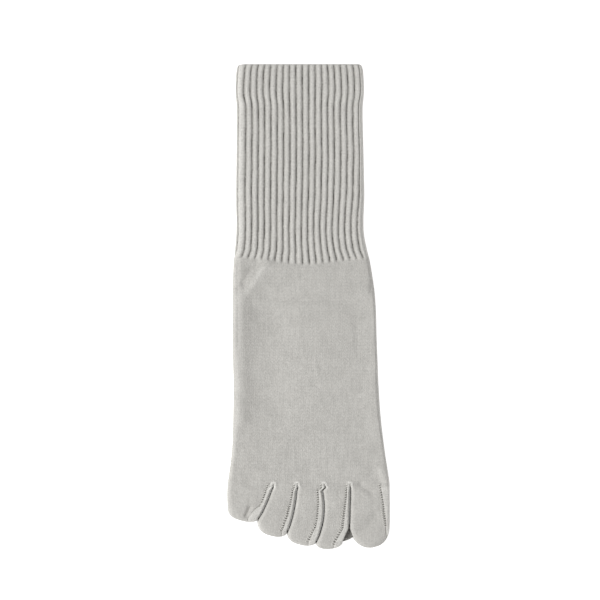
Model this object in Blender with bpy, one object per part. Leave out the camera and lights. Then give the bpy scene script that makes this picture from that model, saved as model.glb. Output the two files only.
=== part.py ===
"""A crew-length sock with five separate toes, lying flat with its front side up.

Metres, +Z up. The floor is z = 0, +Y runs from the toes to the cuff, and +X from the little toe to the big
toe. The origin is on the floor, at the middle of the sock's length and of its toes' spread.

Every piece is a knitted wall round a hollow. Welt, rib_leg, ankle and foot are flattened tubes, and the heel
and the five toes are pockets. Each is a loft: rings of points along the outside and back along the inside.
"""

import math
from collections import namedtuple

import bmesh
import bpy

# Lengths along the sock, from the cuff's edge to the tip of the longest toe
WELT_LENGTH = 0.0240
RIB_LENGTH = 0.1010
ANKLE_LENGTH = 0.0180
FOOT_LENGTH = 0.1240
LONGEST_TOE = 0.0426

# Widths of the flattened tube, and how far its middle lies to the left of the toes' middle
WELT_WIDTH = 0.0816
LEG_WIDTH = 0.0806
HEEL_WIDTH = 0.0904
TOE_SPREAD = 0.1040
LEG_SHIFT = 0.0056
HEEL_SHIFT = 0.0031

# Heights of the flattened tube
WELT_HEIGHT = 0.0124
LEG_HEIGHT = 0.0110
FOOT_HEIGHT = 0.0096
FOOT_HEIGHT_OVER_HEEL = 0.0076
TOE_HEIGHT = 0.0086

# The rounded side folds of the tube, and the tightest fold inside a wall
SIDE_FOLD = 0.0056
TIGHTEST_FOLD = 0.0006

# Knitted walls, the play between the band's two layers, how far its hem stops short, and the gap at each join
RIB_WALL = 0.0012
PLAIN_WALL = 0.0012
WELT_LAYER_GAP = 0.0003
HEM_STOP = 0.0020
JOIN_GAP = 0.0003

# Ribs of the leg and of the welt: the flat crest's share of a rib, and the share of their depth that the
# valleys keep where the ribs run out
RIB_COUNT = 43
RIB_DEPTH = 0.0010
RIB_CREST_SHARE = 0.46
RIB_END_SHARE = 0.35

# The heel pocket, folded flat under the foot, and the stretch in which the sole comes down past it
HEEL_DEPTH = 0.0460
HEEL_TIP_WIDTH = 0.0440
HEEL_TIP_BULGE = 0.0130
HEEL_HEIGHT = 0.0034
HEEL_SIDE_FOLD = 0.0017
SOLE_DROP = 0.0120

# Toes
TOE_GAP = 0.0005
TOE_SIDE_FOLD = 0.0042
TOE_TIP_FOLD = 0.0062
CROTCH_FOLD = 0.0008
SEAM_ROLL_WIDTH = 0.0050
SEAM_ROLL_HEIGHT = 0.0011
SEAM_GROOVE_WIDTH = 0.0007
SEAM_GROOVE_DEPTH = 0.0004

# The share of a toe's length by which its folds have opened, the share of a side line from which its two toes
# may part, and the share of the seam roll's width that its side fold takes
FOLDS_OPEN_BY = 0.5
SPREAD_FROM = 0.8
ROLL_FOLD_SHARE = 0.6

# Where a pocket has its points: angles round its left fold, and shares of the seam roll's width from its foot
# to its edge. Where it has its rings: shares of its straight part, and then of its rounded tip.
LEFT_FOLD_ANGLES = (0.0, 22.5, 45.0, 90.0)
ROLL_STEPS = (1.0, 0.72, 0.42, 0.16, 0.0)
OUTER_STRAIGHT = (0.0, 0.30, 0.65, 1.0)
OUTER_TIP = (0.50, 0.85, 1.0)
INNER_STRAIGHT = (0.0, 0.55, 1.0)
INNER_TIP = (0.60, 1.0)

# Edges that bend by more than this many degrees are shaded sharp
SHARP_ANGLE = 50

COLOUR_PLAIN = (0.485, 0.475, 0.450, 1.0)
COLOUR_RIB = (0.520, 0.510, 0.490, 1.0)

# along is a share of the tube's length, flare of the way from its narrow width to its wide one, lean of the
# way from one shift to the next, and sink of the tube's height, taken off its top by a crease.
Section = namedtuple("Section", "along flare lean sink")

WELT_SECTIONS = [
    Section(along=0.00, flare=0.955, lean=0.0, sink=0.05),
    Section(along=0.30, flare=1.000, lean=0.0, sink=0.00),
    Section(along=0.85, flare=1.000, lean=0.0, sink=0.00),
    Section(along=1.00, flare=0.985, lean=0.0, sink=0.05),
]
RIB_SECTIONS = [
    Section(along=0.00, flare=0.00, lean=0.00, sink=0.04),
    Section(along=0.06, flare=0.00, lean=0.00, sink=0.00),
    Section(along=0.50, flare=0.14, lean=0.10, sink=0.00),
    Section(along=0.88, flare=0.17, lean=0.12, sink=0.00),
    Section(along=0.95, flare=0.42, lean=0.38, sink=0.00),
    Section(along=1.00, flare=0.63, lean=0.52, sink=0.04),
]
ANKLE_SECTIONS = [
    Section(along=0.00, flare=0.63, lean=0.52, sink=0.04),
    Section(along=0.25, flare=0.73, lean=0.64, sink=0.00),
    Section(along=0.75, flare=0.92, lean=0.88, sink=0.00),
    Section(along=1.00, flare=1.00, lean=1.00, sink=0.05),
]
FOOT_SECTIONS = [
    Section(along=0.00, flare=0.00, lean=0.00, sink=0.07),
    Section(along=0.06, flare=0.02, lean=0.05, sink=0.00),
    Section(along=0.42, flare=0.10, lean=0.30, sink=0.00),
    Section(along=0.61, flare=0.19, lean=0.60, sink=0.00),
    Section(along=0.74, flare=0.34, lean=0.75, sink=0.00),
    Section(along=0.86, flare=0.57, lean=0.92, sink=0.00),
    Section(along=0.93, flare=0.76, lean=1.00, sink=0.00),
    Section(along=1.00, flare=0.95, lean=1.00, sink=0.00),
]

# One row for each side line of the toes, from the left edge of the little toe to the right edge of the big
# one. root, middle and end are places across, as shares of TOE_SPREAD, at the toes' root, halfway down the
# line and at its end. The rest are shares of LONGEST_TOE: the line's own length, where the toe at its left
# and the toe at its right begin to round off, and how wide the two toes part at the end.
SideLine = namedtuple("SideLine", "root middle end length left_toe right_toe spread")

SIDE_LINES = [
    SideLine(-0.497, -0.500, -0.496, 0.391, 0.000, 0.391, 0.000),
    SideLine(-0.215, -0.258, -0.318, 0.586, 0.540, 0.586, 0.000),
    SideLine(-0.066, -0.087, -0.134, 0.759, 0.720, 0.759, 0.000),
    SideLine(+0.092, +0.089, +0.042, 0.914, 0.875, 0.914, 0.000),
    SideLine(+0.254, +0.250, +0.238, 0.892, 0.892, 0.812, 0.125),
    SideLine(+0.497, +0.500, +0.499, 0.677, 0.677, 0.000, 0.000),
]

# bulge is how far a toe's tip reaches past its sides, as a share of LONGEST_TOE. The rest give the width of
# the raised seam roll down its right side, at its root, halfway and at its tip, as shares of SEAM_ROLL_WIDTH.
Toe = namedtuple("Toe", "name bulge roll_root roll_middle roll_tip")

TOES = [
    Toe(name="little_toe", bulge=0.124, roll_root=0.30, roll_middle=0.74, roll_tip=1.12),
    Toe(name="fourth_toe", bulge=0.147, roll_root=0.30, roll_middle=0.50, roll_tip=0.62),
    Toe(name="middle_toe", bulge=0.122, roll_root=0.30, roll_middle=0.85, roll_tip=1.30),
    Toe(name="second_toe", bulge=0.097, roll_root=0.30, roll_middle=0.70, roll_tip=1.25),
    Toe(name="big_toe", bulge=0.248, roll_root=1.28, roll_middle=0.86, roll_tip=0.40),
]

# Where the pieces meet
TOTAL_LENGTH = WELT_LENGTH + RIB_LENGTH + ANKLE_LENGTH + FOOT_LENGTH + LONGEST_TOE
CUFF_EDGE = TOTAL_LENGTH / 2
WELT_END = CUFF_EDGE - WELT_LENGTH
RIB_END = WELT_END - RIB_LENGTH
HEEL_LINE = RIB_END - ANKLE_LENGTH
TOE_LINE = HEEL_LINE - FOOT_LENGTH
OVER_HEEL = HEEL_HEIGHT + JOIN_GAP


def clamped(value):
    return min(max(value, 0.0), 1.0)


def mix(start, end, share):
    return start + (end - start) * share


def eased(share):
    """A share from 0 to 1 that starts and ends gently."""
    share = clamped(share)
    return share * share * (3 - 2 * share)


def parabola(start, middle, end, share):
    """The parabola through three values at shares 0, 1/2 and 1."""
    near_start = start * (1 - share) * (1 - 2 * share)
    return near_start + middle * 4 * share * (1 - share) + end * share * (2 * share - 1)


def rounding(distance, radius):
    """Share of the full half-height at a distance in from a rounded edge: a quarter of an ellipse, then 1."""
    return math.sqrt(1.0 - (1.0 - clamped(distance / radius)) ** 2)


def column(rows, along, name):
    """A column of a section table at any share of the length, straight between its rows."""
    for upper, lower in zip(rows, rows[1:]):
        if along <= lower.along:
            share = (along - upper.along) / (lower.along - upper.along)
            return mix(getattr(upper, name), getattr(lower, name), clamped(share))
    return getattr(rows[-1], name)


# Sections of the flattened tube

Flat = namedtuple("Flat", "left right low high")


def flat_section(middle, width, low, high):
    return Flat(left=middle - width / 2, right=middle + width / 2, low=low, high=high)


def inset(flat, by):
    return Flat(flat.left + by, flat.right - by, flat.low + by, flat.high - by)


def welt_section(along):
    width = WELT_WIDTH * column(WELT_SECTIONS, along, "flare")
    high = WELT_HEIGHT * (1 - column(WELT_SECTIONS, along, "sink"))
    return flat_section(-LEG_SHIFT, width, 0.0, high)


def leg_section(along):
    width = mix(LEG_WIDTH, HEEL_WIDTH, column(RIB_SECTIONS, along, "flare"))
    middle = mix(-LEG_SHIFT, -HEEL_SHIFT, column(RIB_SECTIONS, along, "lean"))
    high = LEG_HEIGHT * (1 - column(RIB_SECTIONS, along, "sink"))
    return flat_section(middle, width, 0.0, high)


def ankle_section(along):
    width = mix(LEG_WIDTH, HEEL_WIDTH, column(ANKLE_SECTIONS, along, "flare"))
    middle = mix(-LEG_SHIFT, -HEEL_SHIFT, column(ANKLE_SECTIONS, along, "lean"))
    high = mix(LEG_HEIGHT, OVER_HEEL + FOOT_HEIGHT_OVER_HEEL, along)
    return flat_section(middle, width, 0.0, high * (1 - column(ANKLE_SECTIONS, along, "sink")))


def sole_lift(distance):
    """Height of the sole above the floor: over the heel pocket first, then down onto the floor."""
    past_pocket = distance - HEEL_DEPTH - 2 * JOIN_GAP
    return OVER_HEEL * (1 - eased(past_pocket / SOLE_DROP))


def foot_section(distance):
    along = distance / FOOT_LENGTH
    width = mix(HEEL_WIDTH, TOE_SPREAD, column(FOOT_SECTIONS, along, "flare"))
    middle = -HEEL_SHIFT * (1 - column(FOOT_SECTIONS, along, "lean"))
    low = sole_lift(distance)
    height = mix(FOOT_HEIGHT, FOOT_HEIGHT_OVER_HEEL, low / OVER_HEEL)
    return flat_section(middle, width, low, low + height * (1 - column(FOOT_SECTIONS, along, "sink")))


def foot_fold(distance):
    """The side fold is tighter where the foot lies over the heel pocket, and towards the toes."""
    towards_toes = mix(SIDE_FOLD, TOE_SIDE_FOLD, eased(distance / FOOT_LENGTH))
    over_heel = SIDE_FOLD * FOOT_HEIGHT_OVER_HEEL / FOOT_HEIGHT
    return mix(towards_toes, over_heel, sole_lift(distance) / OVER_HEEL)


def across(width, fold, fold_steps, middle_steps):
    """Distances from the left edge: close together round each side fold, then even across the flat."""
    turn = [fold * (1 - math.cos(math.pi / 2 * i / fold_steps)) for i in range(fold_steps + 1)]
    flat = [mix(fold, width - fold, i / middle_steps) for i in range(1, middle_steps)]
    return turn + flat + [width - distance for distance in reversed(turn)]


def plain_ring(flat, y, fold, fold_steps=4, middle_steps=6):
    """Points round a flattened tube: over the top from left to right, and back along the bottom."""
    width = flat.right - flat.left
    middle, half = (flat.high + flat.low) / 2, (flat.high - flat.low) / 2
    top, bottom = [], []
    for distance in across(width, fold, fold_steps, middle_steps):
        height = half * rounding(min(distance, width - distance), fold)
        top.append((flat.left + distance, y, middle + height))
        bottom.append((flat.left + distance, y, middle - height))
    return top + bottom[-2:0:-1]


def rib_ring(flat, y, by, depth):
    """Points round a ribbed tube, set in by a distance: each rib is one valley line and a flat crest."""
    path = plain_ring(inset(flat, by), y, SIDE_FOLD - by, fold_steps=12, middle_steps=30)
    path.append(path[0])
    lengths = [0.0]
    for here, there in zip(path, path[1:]):
        lengths.append(lengths[-1] + math.dist(here, there))
    crest_start, crest_end = (1 - RIB_CREST_SHARE) / 2, (1 + RIB_CREST_SHARE) / 2
    ring, step = [], 0
    for rib in range(RIB_COUNT):
        for place, sink in ((0.0, depth), (crest_start, 0.0), (crest_end, 0.0)):
            target = lengths[-1] * (rib + place) / RIB_COUNT
            while lengths[step + 1] < target:
                step += 1
            here, there = path[step], path[step + 1]
            share = (target - lengths[step]) / (lengths[step + 1] - lengths[step])
            run, rise = there[0] - here[0], there[2] - here[2]
            inward = sink / math.hypot(run, rise)
            x = mix(here[0], there[0], share) + rise * inward
            z = mix(here[2], there[2], share) - run * inward
            ring.append((x, y, z))
    return ring


# Pockets, closed at their tip

# mouth is the y of the open end. left_place and right_place give x at a depth below it, down to left_length
# and right_length, and the tip bulges past the line between their ends. high, folds and roll are functions of
# the share of the pocket's length: its height, its left and right side folds and its seam roll's width.
Pocket = namedtuple(
    "Pocket",
    "mouth left_place right_place left_length right_length bulge high folds tip_fold roll",
)


def pocket_shares(pocket, along):
    """Shares across a pocket: round its left fold, over the flat, and over the seam groove and the roll."""
    width = pocket.right_place(pocket.right_length * along) - pocket.left_place(pocket.left_length * along)
    left_fold, right_fold = pocket.folds(along)
    roll = pocket.roll(along) or right_fold
    left = [left_fold * (1 - math.cos(math.radians(angle))) for angle in LEFT_FOLD_ANGLES]
    right = [roll + SEAM_GROOVE_WIDTH] + [roll * step for step in ROLL_STEPS]
    flat = [mix(left[-1], width - right[0], share) for share in (1 / 3, 2 / 3)]
    return [distance / width for distance in left + flat + [width - from_right for from_right in right]]


def roll_rise(from_right, roll):
    """Height of the seam roll over the toe's top: half a wave down its width, then the groove at its foot."""
    if from_right < roll:
        return SEAM_ROLL_HEIGHT * math.sin(math.pi * from_right / roll)
    return -SEAM_GROOVE_DEPTH * (1 - clamped((from_right - roll) / SEAM_GROOVE_WIDTH))


def pocket_ring(pocket, along, by):
    """Points round a pocket at a share of its length, set in by a distance.

    The half-height falls by a quarter of an ellipse at each side and at the tip, so the last ring is a line.
    """
    left = pocket.left_place(pocket.left_length * along) + by
    right = pocket.right_place(pocket.right_length * along) - by
    left_fold, right_fold = (max(fold - by, TIGHTEST_FOLD) for fold in pocket.folds(along))
    roll = pocket.roll(along)
    middle = pocket.high(along) / 2
    top, bottom = [], []
    for share in pocket_shares(pocket, along):
        from_left, from_right = (right - left) * share, (right - left) * (1 - share)
        reach = mix(pocket.left_length, pocket.right_length, share)
        reach += (pocket.bulge - by) * math.sqrt(max(0.0, 1 - (2 * share - 1) ** 2))
        at_tip = rounding(reach * (1 - along), pocket.tip_fold - by)
        half = (middle - by) * at_tip * rounding(from_left, left_fold) * rounding(from_right, right_fold)
        rise = at_tip * roll_rise(from_right, roll) if roll and not by else 0.0
        y = pocket.mouth - reach * along
        top.append((left + from_left, y, middle + half + rise * min(1.0, half / (middle / 2))))
        bottom.append((left + from_left, y, middle - half))
    return top + bottom[-2:0:-1]


def pocket_rings(pocket, wall):
    """Rings from the tip up the inside to the mouth, and down the outside to the tip again."""
    reach = max(pocket.left_length, pocket.right_length) + pocket.bulge
    straight = 1 - pocket.tip_fold / reach
    inner = [straight * share for share in INNER_STRAIGHT] + [mix(straight, 1, share) for share in INNER_TIP]
    outer = [straight * share for share in OUTER_STRAIGHT] + [mix(straight, 1, share) for share in OUTER_TIP]
    inside = [pocket_ring(pocket, along, wall) for along in reversed(inner)]
    return inside + [pocket_ring(pocket, along, 0.0) for along in outer]


# Solids

def knit_material(name, colour):
    material = bpy.data.materials.new(name)
    material.use_nodes = True
    shader = material.node_tree.nodes["Principled BSDF"]
    shader.inputs["Base Color"].default_value = colour
    shader.inputs["Roughness"].default_value = 0.95
    shader.inputs["Metallic"].default_value = 0.0
    return material


def loft(name, rings, colour, closed):
    """One body through rings with the same number of points. A closed loft joins its last ring to its first.

    An open one starts and ends in a ring that lies flat, whose doubled points are merged into a line.
    """
    bm = bmesh.new()
    rows = [[bm.verts.new(point) for point in ring] for ring in rings]
    if closed:
        rows.append(rows[0])
    for upper, lower in zip(rows, rows[1:]):
        for here, there in zip(range(len(upper)), [*range(1, len(upper)), 0]):
            bm.faces.new((upper[here], upper[there], lower[there], lower[here]))
    bmesh.ops.remove_doubles(bm, verts=bm.verts, dist=1e-6)
    bmesh.ops.recalc_face_normals(bm, faces=bm.faces)
    mesh = bpy.data.meshes.new(name)
    bm.to_mesh(mesh)
    bm.free()
    mesh.shade_smooth()
    mesh.set_sharp_from_angle(angle=math.radians(SHARP_ANGLE))
    mesh.materials.append(knit_material(name + "_knit", colour))
    piece = bpy.data.objects.new(name, mesh)
    bpy.data.collections["toe_sock"].objects.link(piece)
    return piece


def make_welt():
    """The cuff's turned band: an outer layer, a fold round the mouth and a hem layer inside it."""
    fold = RIB_WALL + WELT_LAYER_GAP / 2
    shoulder = CUFF_EDGE - fold
    low = WELT_END + JOIN_GAP
    hem = WELT_END + HEM_STOP
    outer_layer = [(mix(low, shoulder, along), 0.0) for along in (0.0, 0.15, 0.75, 1.0)]
    turn = []
    for angle in (45, 90, 135):
        round_mouth = math.radians(angle)
        turn.append((shoulder + fold * math.sin(round_mouth), fold - fold * math.cos(round_mouth)))
    hem_inside = [(shoulder, 2 * fold), (hem, 2 * fold)]
    hem_outside = [(hem, 2 * fold - RIB_WALL), (shoulder, 2 * fold - RIB_WALL)]
    back = [(CUFF_EDGE - RIB_WALL, fold), (shoulder, RIB_WALL), (low, RIB_WALL)]
    rings = []
    for y, by in outer_layer + turn + hem_inside + hem_outside + back:
        flat = welt_section((CUFF_EDGE - y) / WELT_LENGTH)
        rings.append(rib_ring(flat, y, by, RIB_DEPTH))
    return loft("welt", rings, COLOUR_RIB, closed=True)


def make_rib_leg():
    """The ribbed leg below the band. Its ribs run out where the plain knit begins."""
    first, flare, last = RIB_SECTIONS[0], RIB_SECTIONS[-3], RIB_SECTIONS[-1]
    outside = [(row.along, 0.0) for row in RIB_SECTIONS]
    inside = [(row.along, RIB_WALL) for row in (last, flare, first)]
    fading_from = RIB_SECTIONS[-2].along
    rings = []
    for along, by in outside + inside:
        y = mix(WELT_END, RIB_END + JOIN_GAP, along)
        fading = eased((along - fading_from) / (1 - fading_from))
        rings.append(rib_ring(leg_section(along), y, by, RIB_DEPTH * mix(1.0, RIB_END_SHARE, fading)))
    return loft("rib_leg", rings, COLOUR_RIB, closed=True)


def make_ankle():
    """The plain tube from the ribs to the heel fold."""
    rings = []
    for row in ANKLE_SECTIONS:
        y = mix(RIB_END, HEEL_LINE + JOIN_GAP, row.along)
        rings.append(plain_ring(ankle_section(row.along), y, SIDE_FOLD))
    for row in reversed(ANKLE_SECTIONS):
        y = mix(RIB_END, HEEL_LINE + JOIN_GAP, row.along)
        flat = inset(ankle_section(row.along), PLAIN_WALL)
        rings.append(plain_ring(flat, y, SIDE_FOLD - PLAIN_WALL))
    return loft("ankle", rings, COLOUR_PLAIN, closed=True)


def make_foot():
    """The plain tube over the instep and the sole, which comes down onto the floor past the heel pocket."""
    drop_starts = HEEL_DEPTH + 2 * JOIN_GAP
    drop = {drop_starts + SOLE_DROP * step / 3 for step in range(4)}
    stations = sorted({row.along * (FOOT_LENGTH - JOIN_GAP) for row in FOOT_SECTIONS} | drop)
    rings = []
    for distance in stations:
        rings.append(plain_ring(foot_section(distance), HEEL_LINE - distance, foot_fold(distance)))
    for distance in reversed(stations):
        flat = inset(foot_section(distance), PLAIN_WALL)
        rings.append(plain_ring(flat, HEEL_LINE - distance, foot_fold(distance) - PLAIN_WALL))
    return loft("foot", rings, COLOUR_PLAIN, closed=True)


def make_heel():
    """The heel pocket under the foot: it narrows from the heel fold to a round tip."""
    side_length = HEEL_DEPTH - HEEL_TIP_BULGE

    def half_width(depth):
        return mix(HEEL_WIDTH, HEEL_TIP_WIDTH, eased(depth / side_length)) / 2

    pocket = Pocket(
        mouth=HEEL_LINE,
        left_place=lambda depth: -HEEL_SHIFT - half_width(depth),
        right_place=lambda depth: -HEEL_SHIFT + half_width(depth),
        left_length=side_length,
        right_length=side_length,
        bulge=HEEL_TIP_BULGE,
        high=lambda along: HEEL_HEIGHT,
        folds=lambda along: (HEEL_SIDE_FOLD, HEEL_SIDE_FOLD),
        tip_fold=HEEL_SIDE_FOLD + PLAIN_WALL,
        roll=lambda along: 0.0,
    )
    return loft("heel", pocket_rings(pocket, PLAIN_WALL), COLOUR_PLAIN, closed=False)


def side_place(line, depth):
    """x of a side line at a depth below the toes' root: a parabola through its three places."""
    return TOE_SPREAD * parabola(line.root, line.middle, line.end, depth / (line.length * LONGEST_TOE))


def half_gap(line, depth):
    """Half the gap along a side line between two toes, which may spread towards the line's end."""
    share = depth / (line.length * LONGEST_TOE)
    return TOE_GAP / 2 + line.spread * LONGEST_TOE / 2 * eased((share - SPREAD_FROM) / (1 - SPREAD_FROM))


def make_toe(toe, left, right):
    """A toe pocket between two side lines. The outermost lines are edges, and the others are gaps."""
    outer_left, outer_right = left is SIDE_LINES[0], right is SIDE_LINES[-1]

    def left_place(depth):
        return side_place(left, depth) + (0.0 if outer_left else half_gap(left, depth))

    def right_place(depth):
        return side_place(right, depth) - (0.0 if outer_right else half_gap(right, depth))

    def roll(along):
        return SEAM_ROLL_WIDTH * parabola(toe.roll_root, toe.roll_middle, toe.roll_tip, along)

    def folds(along):
        opened = eased(along / FOLDS_OPEN_BY)
        left_fold = TOE_SIDE_FOLD if outer_left else mix(CROTCH_FOLD, TOE_SIDE_FOLD, opened)
        right_fold = TOE_SIDE_FOLD if outer_right else mix(CROTCH_FOLD, ROLL_FOLD_SHARE * roll(along), opened)
        return left_fold, right_fold

    pocket = Pocket(
        mouth=TOE_LINE,
        left_place=left_place,
        right_place=right_place,
        left_length=left.right_toe * LONGEST_TOE,
        right_length=right.left_toe * LONGEST_TOE,
        bulge=toe.bulge * LONGEST_TOE,
        high=lambda along: mix(FOOT_HEIGHT, TOE_HEIGHT, eased(along / FOLDS_OPEN_BY)),
        folds=folds,
        tip_fold=TOE_TIP_FOLD,
        roll=roll,
    )
    return loft(toe.name, pocket_rings(pocket, PLAIN_WALL), COLOUR_PLAIN, closed=False)


def clear_scene():
    for old in list(bpy.data.objects):
        bpy.data.objects.remove(old, do_unlink=True)


def main():
    clear_scene()
    sock = bpy.data.collections.new("toe_sock")
    bpy.context.scene.collection.children.link(sock)
    make_welt()
    make_rib_leg()
    make_ankle()
    make_foot()
    make_heel()
    for toe, left, right in zip(TOES, SIDE_LINES, SIDE_LINES[1:]):
        make_toe(toe, left, right)


main()
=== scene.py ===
"""The looks of a crew-length knitted sock with five toes, lying flat with its front side up.

Every new piece is a closed surface worked out with numpy as a function of two parameters: a place round the
piece and a place along it. Metres, +Z up, in the frame's own axes: +Y from the toes to the cuff.
"""

import math
from collections import namedtuple

import bmesh
import bpy
import numpy as np
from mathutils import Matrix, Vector


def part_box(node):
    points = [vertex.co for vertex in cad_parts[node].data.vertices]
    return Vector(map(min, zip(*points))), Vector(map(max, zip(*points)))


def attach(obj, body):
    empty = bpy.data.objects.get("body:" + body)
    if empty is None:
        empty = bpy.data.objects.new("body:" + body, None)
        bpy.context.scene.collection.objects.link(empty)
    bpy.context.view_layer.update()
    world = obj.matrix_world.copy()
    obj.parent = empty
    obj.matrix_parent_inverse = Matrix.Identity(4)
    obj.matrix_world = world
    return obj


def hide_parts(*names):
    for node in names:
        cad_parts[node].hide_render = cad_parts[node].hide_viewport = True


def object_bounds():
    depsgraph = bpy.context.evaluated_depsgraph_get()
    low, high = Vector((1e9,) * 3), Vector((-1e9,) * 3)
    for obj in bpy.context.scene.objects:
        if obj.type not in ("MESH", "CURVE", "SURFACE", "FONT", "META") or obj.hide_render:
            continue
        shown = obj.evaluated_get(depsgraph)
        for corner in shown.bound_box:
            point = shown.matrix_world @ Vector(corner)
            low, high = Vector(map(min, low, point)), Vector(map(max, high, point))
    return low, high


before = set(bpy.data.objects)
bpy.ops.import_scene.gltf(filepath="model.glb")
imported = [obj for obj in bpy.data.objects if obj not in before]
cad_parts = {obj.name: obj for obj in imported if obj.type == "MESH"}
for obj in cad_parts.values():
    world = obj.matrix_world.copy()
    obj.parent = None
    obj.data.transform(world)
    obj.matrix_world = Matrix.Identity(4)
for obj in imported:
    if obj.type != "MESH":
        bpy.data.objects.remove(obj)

cad_low, cad_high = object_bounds()

# Places along the sock, from the frame
CUFF_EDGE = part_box("welt")[1].y
WELT_END = (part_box("welt")[0].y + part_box("rib_leg")[1].y) / 2
RIB_END = (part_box("rib_leg")[0].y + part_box("ankle")[1].y) / 2
HEEL_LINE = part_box("heel")[1].y
TOE_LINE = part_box("big_toe")[1].y
TIP = cad_low.y
SPREAD = cad_high.x - cad_low.x
LENGTH = CUFF_EDGE - TIP
LONGEST_TOE = TOE_LINE - TIP
LEG_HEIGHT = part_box("rib_leg")[1].z
HEEL_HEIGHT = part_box("heel")[1].z
HEEL_DEPTH = HEEL_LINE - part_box("heel")[0].y

# The wall, the play inside the turned band, how far the hem stops short of the band's end, the gap between
# the frame's pieces, and the width and height of one plain stitch
WALL = 0.0012
WELT_PLAY = 0.0003
HEM_STOP = 0.0020
JOIN = 0.0003
WALE = 0.00072
COURSE = 0.00060

# Shares of the way across that the side folds take up, and the right fold's width as a share of the left's
LEFT_TURN = 0.0565
RIGHT_TURN = 0.1065
RIGHT_FOLD = 0.55

# Ribs. Their offset, lean, splay and wander are in widths of a rib. They begin to lean at LEAN_START below
# the band, and to splay at SPLAY_START above the frame's rib end. They run on past that end but stop sooner
# at the sides, and the leg's surface runs on a little further. A wave's skew is its shift in radians once
# round the leg. CREST_ROUNDING and CREST_FULLNESS are the powers of a rib's profile.
RIB_COUNT = 43
RIB_DEPTH = 0.0015
RIB_OFFSET = 0.62
RIB_LEAN = 0.66
LEAN_START = 0.0334
RIB_SPLAY = 0.30
SPLAY_START = 0.0075
SPLAY_LENGTH = 0.0070
LONG_WANDER = 0.018
LONG_WAVE = 0.0042
LONG_SKEW = 44
SHORT_WANDER = 0.014
SHORT_WAVE = 0.0017
SHORT_SKEW = 151
CREST_ROUNDING = 2.1
CREST_FULLNESS = 0.66
RIBS_RUN_ON = 0.0034
SIDES_STOP_SOONER = 0.0044
UNEVEN_STOP = 0.0005
RIB_FADE = 0.0026
LEG_RUNS_ON = 0.0042
WALES_PER_RIB = 6
COLUMNS_PER_RIB = 10

# Shares of the way across between which the ribs are low, near the right fold, and how much lower they are
LOW_START = 0.90
LOW_END = 0.99
LOW_FADE = 0.02
LOWERED = 0.85

# Deeper ribs round the band's end, shallower ones at the cuff's edge, and their uneven depth
KINK_REACH = 0.0045
KINK_DEPTH = 0.20
EDGE_FADE = 0.0030
EDGE_DEPTH = 0.2
UNEVEN_DEPTH = 0.10
DEPTH_WAVE = 0.0060
DEPTH_SKEW = 61

# The heel pocket's plan, how the sole comes down past it, and how the side folds draw in between the two
HEEL_TIP_WIDTH = 0.0440
HEEL_TIP_BULGE = 0.0130
HEEL_FOLD = 0.0017
SOLE_DROP = 0.0120
PINCH_REACH = 0.0090
PINCH_DEPTH = 0.0038
PINCH_HEIGHT = 0.0011

# The gaps between toes. Each opens over GAP_OPENING from GAP_START below the toes' root, and may spread past
# SPREAD_START, a share of its side line. Its top may stand aside down to HOOK_DEPTH, and comes back over
# HOOK_LENGTH.
TOE_GAP = 0.00015
GAP_START = 0.0008
GAP_OPENING = 0.0030
SPREAD_START = 0.76
HOOK_DEPTH = 0.0026
HOOK_LENGTH = 0.0026

# The painted shade on the walls of a gap. At a toe's left and at its right it begins at a share of
# CREVICE_WIDTH and grows.
CREVICE_WIDTH = 0.00040
LEFT_CREVICE = 0.3
LEFT_GROWTH = 0.4
RIGHT_CREVICE = 0.5
RIGHT_GROWTH = 0.5

# Toes: their height, reached at a share of their length, how far in their edges and tips round off, their low
# crown, full at a share of their length, and the shoulder that falls to a gap
TOE_HEIGHT = 0.0086
TOE_DESCENT = 0.5
TOE_FOLD = 0.0009
THINNEST_FOLD = 0.00004
OUTER_TOE_FOLD = 0.0036
TOE_TIP_FOLD = 0.0062
TIP_FULLNESS = 2.3
CROWN_HEIGHT = 0.0004
CROWN_START = 0.3
SHOULDER_WIDTH = 0.0032
SHOULDER_DROP = 0.0013

# The seam roll down a toe's right side, with a groove at its foot. A flare reaches over a share of the side.
ROLL_WIDTH = 0.0050
ROLL_HEIGHT = 0.0011
ROLL_RISE = 0.0009
ROLL_FOLD = 0.0013
FLARE_LENGTH = 0.28
GROOVE_DEPTH = 0.0005
GROOVE_WIDTH = 0.00045

# The lips round the gaps' tops
LIP_HEIGHT = 0.0008
LIP_REACH = 0.0012
LIP_WIDTH = 0.0009
LIP_LENGTH = 0.0060

# Seam thread: the spacing of its stitches, half a stitch's length, its radius, slant, rise, bow and
# unevenness, and how far off the second row is. The painted shade of the holes between stitches shifts a
# little along the seam, and fades at its ends.
STITCH_SPACING = 0.0015
THREAD_REACH = 0.00080
THREAD_RADIUS = 0.00030
THREAD_SLANT = 0.00030
THREAD_RISE = 0.00030
THREAD_BOW = 1.6
UNEVEN_PLACE = 0.0005
UNEVEN_SLANT = 0.0002
SECOND_ROW = 0.0014
HOLE_SHIFT = 1.2
SHIFT_LENGTH = 0.0023
HOLES_FADE = 0.03

# The cloth between second and big toe. Its start and sides are shares of the longest toe.
WEB_START = 0.72
WEB_LEFT = 0.885
WEB_RIGHT = 0.800
WEB_BULGE = 0.0012
WEB_UNDER_TOES = 0.0012
WEB_LOW = 0.0006
WEB_HIGH = 0.0056
WEB_FOLD = 0.0006
WEB_TIP_FOLD = 0.0014

# Where the columns of points lie close together on a toe: over a width next to the left fold, over a number
# of groove widths at the roll's foot, and towards the side line by a power
SHOULDER_REACH = 0.0030
GROOVE_REACH = 2.8
ROLL_CLOSENESS = 1.4

# Low ripples of the front
BROAD_RIPPLE = 0.00012
FINE_RIPPLE = 0.00010
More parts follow.
